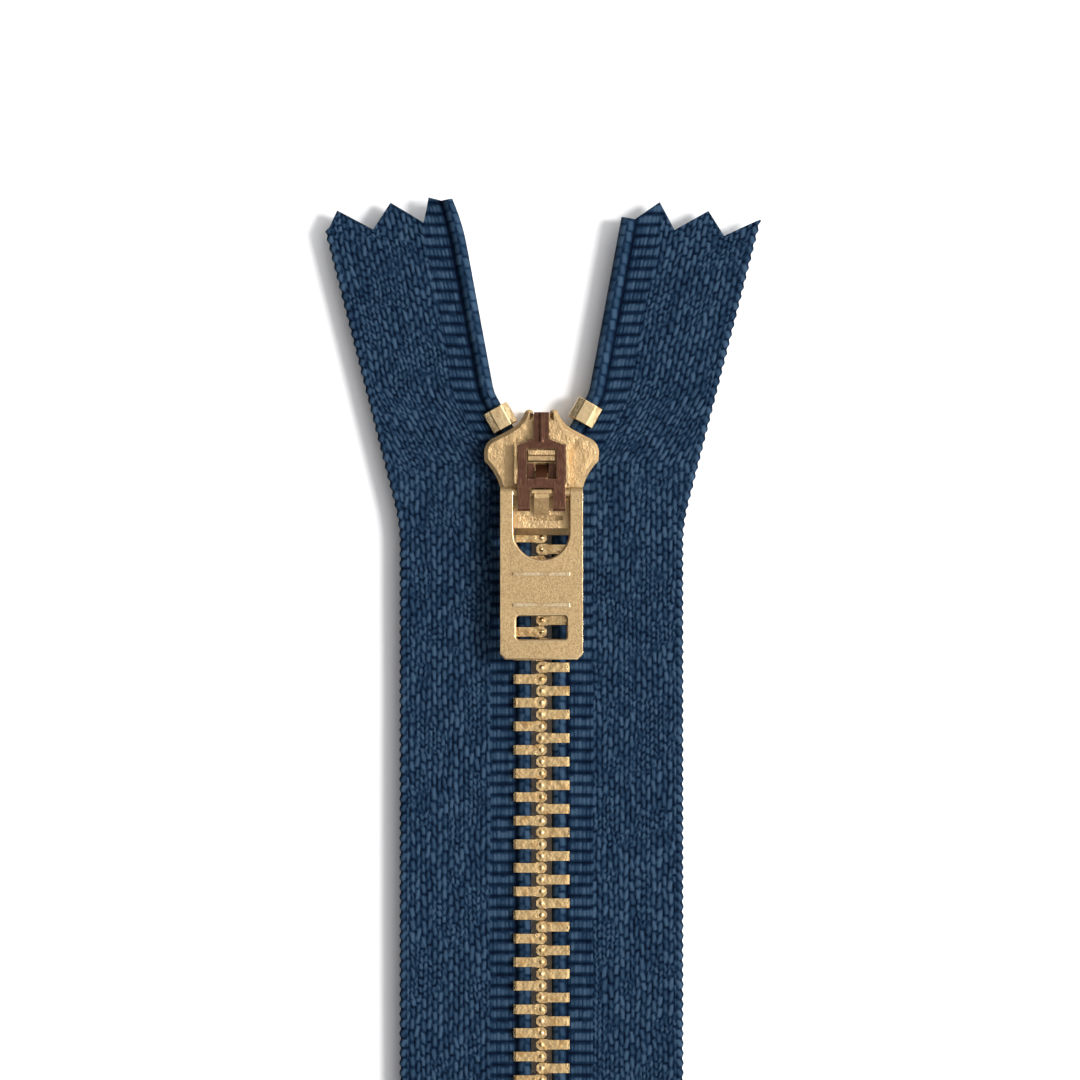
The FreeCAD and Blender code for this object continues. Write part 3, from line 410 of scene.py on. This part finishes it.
def bead_way(settings):
    """The plan of the right tape's bead above the pivot: straight up the chain, a bend into the
    slider's mouth, the leaning stretch, a bend back, and the flare."""
    line, lean, flare = settings.cord_line, 29.0, 10.5
    bend = arc((line + 1.0, 0.891), 1.0, 180.0, 180.0 - lean, 9)
    top = bend[-1] + 7.0 * np.array([math.sin(math.radians(lean)), math.cos(math.radians(lean))])
    centre = top - 5.0 * np.array([math.cos(math.radians(lean)), -math.sin(math.radians(lean))])
    back = arc(centre, 5.0, -lean, -flare, 9)
    rise = WAYS_TOP - back[-1][1]
    end = back[-1] + rise * np.array([math.tan(math.radians(flare)), 1.0])
    return np.vstack([[[line, TAIL_END]], bend, back, [end]])


def selvedge_way():
    """The plan of the right tape's outer edge: straight, a wide bend, and the flare."""
    bend = arc((SELVEDGE + 18.0, -7.858), 18.0, 180.0, 180.0 - 14.3, 13)
    rise = WAYS_TOP - bend[-1][1]
    end = bend[-1] + rise * np.array([math.tan(math.radians(14.3)), 1.0])
    return np.vstack([[[SELVEDGE, TAIL_END]], bend, [end]])


def walk(points, places):
    """The points at the given lengths along a polyline, its lengths at the corners being summed."""
    sums = np.concatenate([[0], np.cumsum(np.linalg.norm(np.diff(points, axis=0), axis=1))])
    return np.stack([np.interp(places, sums, points[:, n]) for n in range(2)], -1), sums[-1]


def tail_height(y, out):
    """Height of the tape's middle: level past the bottom stop, then a smooth step down to the
    table, where the bead lies on it and the cloth beside it sags to it."""
    sag = np.clip((out - 0.7) / 3.0, 0, 1)
    rest = 0.83 - 0.46 * sag * sag * (3 - 2 * sag)
    step = np.clip((STOP_END - 2.0 - y) / 6.0, 0, 1)
    step = step * step * (3 - 2 * step)
    return CHAIN_MIDDLE + (rest - CHAIN_MIDDLE) * step


def ribbon(upper, lower, reach_upper, reach_lower):
    """Triangles between two rows of vertices that run the same way: each step of one row is
    joined to the vertex that the other row has reached by then."""
    behind = np.clip(np.searchsorted(reach_lower, reach_upper[1:], "left") - 1, 0, None)
    above = np.clip(np.searchsorted(reach_upper, reach_lower[1:], "right") - 1, 0, None)
    return np.vstack([np.stack([upper[:-1], upper[1:], lower[behind]], 1),
                      np.stack([lower[1:], lower[:-1], upper[above]], 1)])


def tube_mesh(name, points, reach, tops, values):
    """A closed tube from a grid of points, its last column joined to its first.  The first tops
    columns are its upper side, and its two ends are ribbons from the upper to the lower side.
    values are point attributes."""
    rows, columns = points.shape[:2]
    index = np.arange(rows * columns).reshape(rows, columns)
    turned = np.roll(index, -1, axis=1)
    sides = np.stack([index[:-1], turned[:-1], turned[1:], index[1:]], -1).reshape(-1, 4)
    ends = np.vstack([ribbon(row[:tops], row[tops:][::-1], reach[:tops], reach[tops:][::-1])
                      for row in (index[0], index[-1])])
    mesh = bpy.data.meshes.new(name)
    mesh.from_pydata((points.reshape(-1, 3) * MM).tolist(), [], sides.tolist() + ends.tolist())
    for label, value in values.items():
        layer = mesh.attributes.new(label, "FLOAT_VECTOR", "POINT")
        layer.data.foreach_set("vector", value.reshape(-1).astype(np.float32))
    shell = bmesh.new()
    shell.from_mesh(mesh)
    bmesh.ops.recalc_face_normals(shell, faces=shell.faces)
    shell.to_mesh(mesh)
    shell.free()
    mesh.polygons.foreach_set("use_smooth", np.ones(len(mesh.polygons), bool))
    made = bpy.data.objects.new(name, mesh)
    bpy.context.scene.collection.objects.link(made)
    return made


def tape_mesh(settings, name, side, cut, curl, seed):
    """One tape with its corded edge.  A section runs from the bead's inner side over its top, the
    crease and the tape's face to the selvedge, and back along the underside.  Every station of
    the bead's way is joined to its partner on the selvedge's way.  cut is the pinked top as
    (distance from the bead, height) and curl rolls the inner corner at the top."""
    radius, half = settings.bead / 2, settings.thick / 2
    bead_plan, edge_plan = bead_way(settings), selvedge_way()
    length_in, length_out = walk(bead_plan, [0])[1], walk(edge_plan, [0])[1]
    rows = 700
    share = np.linspace(0, 1, rows)[:, None]

    # the section, as a share of the way from bead (below 0) to selvedge (1), with its side
    turn = np.radians(np.linspace(180, 22, 13))
    over_bead = np.stack([radius * np.cos(turn), radius * np.sin(turn)], 1)
    width_top = float(np.linalg.norm(edge_plan[-1] - bead_plan[-1])) - radius
    corners = np.array([c[0] for c in cut[1:-1]]) / width_top
    face, under = np.linspace(0.01, 1, 96), np.linspace(1, 0.02, 22)
    for spots in (face, under):
        spots[np.abs(spots[:, None] - corners).argmin(0)] = corners
    turn_back = np.radians(np.linspace(-22, -168, 7))
    under_bead = np.stack([radius * np.cos(turn_back), radius * np.sin(turn_back)], 1)
    bead_out = np.concatenate([over_bead[:, 0], 0 * face, 0 * under, under_bead[:, 0]])
    bead_up = np.concatenate([over_bead[:, 1], 0 * face, 0 * under, under_bead[:, 1]])
    across = np.concatenate([0 * turn, face, under, 0 * turn_back])
    is_bead = np.concatenate([0 * turn + 1, 0 * face, 0 * under, 0 * turn_back + 1])
    up = np.concatenate([0 * turn + 1, 0 * face + 1, 0 * under - 1, 0 * turn_back - 1])

    # where the pinked edge cuts each column, as a length back from the ways' ends
    height = np.interp(across * width_top, [c[0] for c in cut], [c[1] for c in cut])
    trim = (WAYS_TOP - height) / math.cos(math.radians(CUT_LEAN))
    stretch_in = np.minimum(share * length_in, length_in - TRIMMED)
    ending = np.clip((share * length_in - (length_in - TRIMMED)) / TRIMMED, 0, 1)
    along_in = stretch_in + ending * (TRIMMED - trim[None, :])
    along_out = along_in * length_out / length_in
    inner, _ = walk(bead_plan, along_in)
    outer, _ = walk(edge_plan, along_out)
    ahead, _ = walk(bead_plan, along_in + 0.05)
    behind, _ = walk(bead_plan, along_in - 0.05)
    way = ahead - behind
    way /= np.maximum(np.linalg.norm(way, axis=2, keepdims=True), 1e-9)
    normal = np.stack([way[..., 1], -way[..., 0]], -1)
    root = inner + normal * radius * math.cos(math.radians(22))
    plan = np.where(is_bead[None, :, None] > 0, inner + normal * bead_out[None, :, None],
                    root + (outer - root) * across[None, :, None])
    wide = np.linalg.norm(outer - root, axis=2)
    out = np.where(is_bead[None, :] > 0, bead_out[None, :], radius + across[None, :] * wide)
    edge = (1 - across[None, :]) * wide + 5.0 * is_bead[None, :]
    height_map, tint = weave(settings, out, along_in, edge, seed)

    # the selvedge thins, and each of its loops stands out a little
    thin = np.sqrt(np.clip(1 - np.clip((0.4 - edge) / 0.4, 0, 1) ** 2, 0.12, 1))
    loops = 0.09 * np.sin(2 * np.pi * along_in / 1.04) * np.clip(1 - edge / 0.5, 0, 1)
    plan = plan + normal * loops[..., None]
    lift = half * thin + settings.relief * (height_map - 0.65)
    z_tape = up[None, :] * lift
    z_bead = bead_up[None, :] * (1 + 0.9 * settings.relief * (height_map - 0.7) / radius)
    z = np.where(is_bead[None, :] > 0, z_bead, z_tape)

    # the cloth lies in long soft waves where nothing holds it
    free = np.clip((out - 4.0) / 6.0, 0, 1)
    wave = 0.10 * free * (clouds(plan[..., 1] * 0.09, out * 0.05, seed + 11) - 0.5)
    flare = np.clip((plan[..., 1] - 6.0) / 22.0, 0, 1)
    wave += 0.35 * flare ** 2 * (clouds(plan[..., 1] * 0.11, out * 0.12, seed + 12) - 0.4)
    fold = curl * np.clip((plan[..., 1] - 24.0) / 5.0, 0, 1) ** 2 * np.clip(1 - (out + radius) / 3.4, 0, 1)
    plan = plan + normal * (0.55 * fold)[..., None]
    z = z + wave + fold + tail_height(plan[..., 1], out)
    points = np.stack([side * plan[..., 0], plan[..., 1], z], -1)
    zero = np.zeros_like(out)
    reach = np.where(is_bead > 0, bead_out, radius + 10 * across)
    # the float height also sets the painted shade and highlight in the tape material
    thread = np.stack([height_map, tint, zero], -1)
    lay = np.stack([out, along_in, zero + seed], -1)
    return tube_mesh(name, points, reach, len(over_bead) + len(face), {"thread": thread, "lay": lay})


def rounded(node, name, width, segments, materials, bars=(), bar_material=0):
    """Replaces a CAD node by a merged copy whose sharp edges are rounded to the given width, the
    last material going on the rounds.  bars are the middles and sizes of added blocks, in mm, and
    bar_material is the place of their material in the list."""
    source = frame["nodes"][node]
    mesh = source.data.copy()
    mesh.transform(source.matrix_world)
    mesh.materials.clear()
    for material in materials:
        mesh.materials.append(material)
    shell = bmesh.new()
    shell.from_mesh(mesh)
    bmesh.ops.remove_doubles(shell, verts=shell.verts, dist=0.001 * MM)
    bmesh.ops.dissolve_limit(shell, angle_limit=math.radians(0.5), verts=shell.verts, edges=shell.edges)
    for middle, size in bars:
        place = Matrix.Translation([m * MM for m in middle]) @ Matrix.Diagonal([*(s * MM for s in size), 1.0])
        corners = bmesh.ops.create_cube(shell, size=1.0, matrix=place)["verts"]
        for face in {face for corner in corners for face in corner.link_faces}:
            face.material_index = bar_material
    shell.to_mesh(mesh)
    shell.free()
    for label in ("custom_normal", "sharp_edge", "sharp_face"):
        if label in mesh.attributes:
            mesh.attributes.remove(mesh.attributes[label])
    mesh.polygons.foreach_set("use_smooth", np.ones(len(mesh.polygons), bool))
    made = bpy.data.objects.new(name, mesh)
    bpy.context.scene.collection.objects.link(made)
    edges = made.modifiers.new("rounded_edges", "BEVEL")
    edges.width = width * MM
    edges.segments = segments
    edges.limit_method = "ANGLE"
    edges.angle_limit = math.radians(35)
    edges.harden_normals = True
    # the rounds take the last material; for the slider, tab and spring that is a paler rim, a painted edge
    # highlight
    edges.material = len(materials) - 1
    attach(made, source["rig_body"])
    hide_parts(node)


# ---------------------------------------------------------------- operators


class ZIPPER_OT_tapes(bpy.types.Operator):
    """Weave the two tapes with their corded edges, and lay them in place of the CAD's plain cloth"""

    bl_idname = "zipper.tapes"
    bl_label = "Woven tapes"

    def execute(self, context):
        settings = context.scene.zipper_tape
        material = woven_polyester(settings)
        left_cut = [(0.0, 28.9), (1.6, 29.2), (2.7, 26.5), (5.8, 28.6), (8.3, 25.7), (11.7, 27.7),
                    (13.3, 25.4)]
        right_cut = [(0.0, 26.9), (2.3, 28.7), (4.5, 25.7), (7.7, 27.7), (10.0, 25.0), (13.4, 26.7)]
        tapes = (("left", -1, left_cut, 1.1, 2.0), ("right", 1, right_cut, 0.0, 5.0))
        for word, side, cut, curl, seed in tapes:
            tape = tape_mesh(settings, f"{word}_woven_tape", side, cut, curl, seed)
            tape.data.materials.append(material)
            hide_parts(f"{word}_tape", f"{word}_cord", f"{word}_tape_tail", f"{word}_cord_tail")
            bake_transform(tape)
        return {"FINISHED"}


class ZIPPER_OT_teeth(bpy.types.Operator):
    """Give the teeth and the stops their polished brass"""

    bl_idname = "zipper.teeth"
    bl_label = "Teeth and stops"

    def execute(self, context):
        settings = context.scene.zipper_metal
        teeth = polished_brass("polished_crimped_brass", settings.teeth, 0.0, 0.07)
        stops = polished_brass("polished_stop_brass", settings.stops, 0.31, 0.025)
        for node in frame["nodes"]:
            if "teeth" in node:
                rounded(node, f"polished_{node}", 0.12, 2, [teeth])
            elif node.endswith("_stop"):
                rounded(node, f"polished_{node}", 0.38, 1, [stops])
        return {"FINISHED"}


class ZIPPER_OT_slider(bpy.types.Operator):
    """Give the slider its satin cast brass"""

    bl_idname = "zipper.slider"
    bl_label = "Slider"

    def execute(self, context):
        settings = context.scene.zipper_metal
        # paler brass on the slider's rounded edges: a painted edge highlight
        rim = polished_brass("painted_highlight_cast_rim", settings.rim, 0.62, 0.05)
        body = satin_cast_brass(settings.cast)
        rounded("slider_body", "satin_slider_body", 0.12, 2, [body, rim])
        return {"FINISHED"}


class ZIPPER_OT_spring(bpy.types.Operator):
    """Give the lock spring its antique copper"""

    bl_idname = "zipper.spring"
    bl_label = "Lock spring"

    def execute(self, context):
        settings = context.scene.zipper_metal
        # paler copper on the spring's rounded edges: a painted edge highlight
        rim = antique_copper("painted_highlight_copper_rim", settings.spring_rim)
        plate = antique_copper("antique_copper_plate", settings.spring)
        # the strip turns down into the window on both sides of the claw
        middle, drop, size = (1.12, 0.05), 0.56, (0.75, 1.55, 0.14)
        flaps = [((side * middle[0], middle[1], TAB_AXIS - drop), size) for side in (-1, 1)]
        rounded("lock_spring", "plated_lock_spring", 0.06, 2, [plate, rim], flaps)
        return {"FINISHED"}


class ZIPPER_OT_tab(bpy.types.Operator):
    """Give the pull tab its sand-textured brass"""

    bl_idname = "zipper.tab"
    bl_label = "Pull tab"

    def execute(self, context):
        settings = context.scene.zipper_metal
        # paler brass on the tab's rounded edges and raised lines: a painted edge highlight
        rim = polished_brass("painted_highlight_tab_rim", settings.rim, 0.93, 0.03)
        face = float(box_mm("pull_tab")[1][2])
        # raised lines above and below the plain field, in the paler rim brass as a painted highlight
        size, field = (6.0, 0.34, 0.30), (-10.85, -14.1)
        lines = [((0.0, along, face), size) for along in field]
        rounded("pull_tab", "textured_pull_tab", 0.08, 2,
                [sand_textured_brass(settings.tab), rim], lines, 1)
        return {"FINISHED"}


class ZIPPER_OT_stage(bpy.types.Operator):
    """Lay the floor, and set up the light and the camera"""

    bl_idname = "zipper.stage"
    bl_label = "Stage"

    def execute(self, context):
        settings = context.scene.zipper_stage
        side = 3.0
        mesh = bpy.data.meshes.new("table")
        under = -0.02 * MM
        corners = [(x, y, under) for x, y in ((-side, -side), (side, -side), (side, side), (-side, side))]
        mesh.from_pydata(corners, [], [(0, 1, 2, 3)])
        table = bpy.data.objects.new("table", mesh)
        context.scene.collection.objects.link(table)
        material, tree, shader = new_material("white_paper")
        shader.inputs["Base Color"].default_value = linear(settings.floor)
        shader.inputs["Roughness"].default_value = 0.9
        shader.inputs["Specular IOR Level"].default_value = 0.0
        mesh.materials.append(material)

        key = bpy.data.lights.new("key", "SUN")
        key.energy = settings.key
        key.angle = math.radians(16)
        lamp = bpy.data.objects.new("key", key)
        lamp.rotation_euler = (math.radians(-3), math.radians(40), 0)
        context.scene.collection.objects.link(lamp)

        world = bpy.data.worlds.new("studio")
        world.use_nodes = True
        context.scene.world = world
        # a bright soft box to the right, a dim wall to the left
        tree = world.node_tree
        way = add(tree, "SeparateXYZ", {0: add(tree, "TexCoord").outputs["Generated"]}).outputs[0]
        share = add(tree, "MapRange", {0: way, 1: -1.0, 2: 1.0}).outputs[0]
        walls = ramp(tree, share, [(0.0, "#2E2E30"), (0.34, "#6E6E70"), (0.5, "#A6A6A8"), (0.72, "#FFFFFF")])
        sky = tree.nodes["Background"]
        tree.links.new(walls, sky.inputs[0])
        sky.inputs[1].default_value = settings.fill

        centre = (settings.centre_x * MM, settings.centre_y * MM)
        camera = bpy.data.cameras.new("camera")
        camera.sensor_width = camera.sensor_height = 36.0
        top = float(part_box("pull_tab")[1][2])
        camera.lens = 36.0 * settings.distance / settings.view
        camera.clip_start, camera.clip_end = 0.01, 20.0
        eye = bpy.data.objects.new("camera", camera)
        eye.location = (centre[0], centre[1], top / 2 + settings.distance * MM)
        context.scene.collection.objects.link(eye)
        context.scene.camera = eye
        context.scene.view_settings.view_transform = "Standard"
        return {"FINISHED"}


class ZIPPER_PT_panel(bpy.types.Panel):
    """The zipper's pieces, in the order that they are made"""

    bl_idname = "ZIPPER_PT_panel"
    bl_label = "Metal zipper"
    bl_space_type = "VIEW_3D"
    bl_region_type = "UI"
    bl_category = "Zipper"

    def draw(self, context):
        for group in GROUPS:
            settings = getattr(context.scene, group)
            box = self.layout.box()
            for field in settings.bl_rna.properties:
                if field.identifier not in ("rna_type", "name"):
                    box.prop(settings, field.identifier)
        for operator in OPERATORS:
            self.layout.operator(operator.bl_idname)


GROUPS = {"zipper_tape": TapeSettings, "zipper_metal": MetalSettings, "zipper_stage": StageSettings}
OPERATORS = (ZIPPER_OT_tapes, ZIPPER_OT_teeth, ZIPPER_OT_slider, ZIPPER_OT_spring, ZIPPER_OT_tab,
             ZIPPER_OT_stage)
CLASSES = (*GROUPS.values(), *OPERATORS, ZIPPER_PT_panel)


def register():
    for item in CLASSES:
        bpy.utils.register_class(item)
    for group, kind in GROUPS.items():
        setattr(bpy.types.Scene, group, bpy.props.PointerProperty(type=kind))


def unregister():
    for group in GROUPS:
        delattr(bpy.types.Scene, group)
    for item in reversed(CLASSES):
        bpy.utils.unregister_class(item)


def main():
    register()
    bpy.ops.zipper.tapes()
    bpy.ops.zipper.teeth()
    bpy.ops.zipper.slider()
    bpy.ops.zipper.spring()
    bpy.ops.zipper.tab()
    bpy.ops.zipper.stage()
    bpy.context.view_layer.update()


if __name__ == "__main__":
    main()
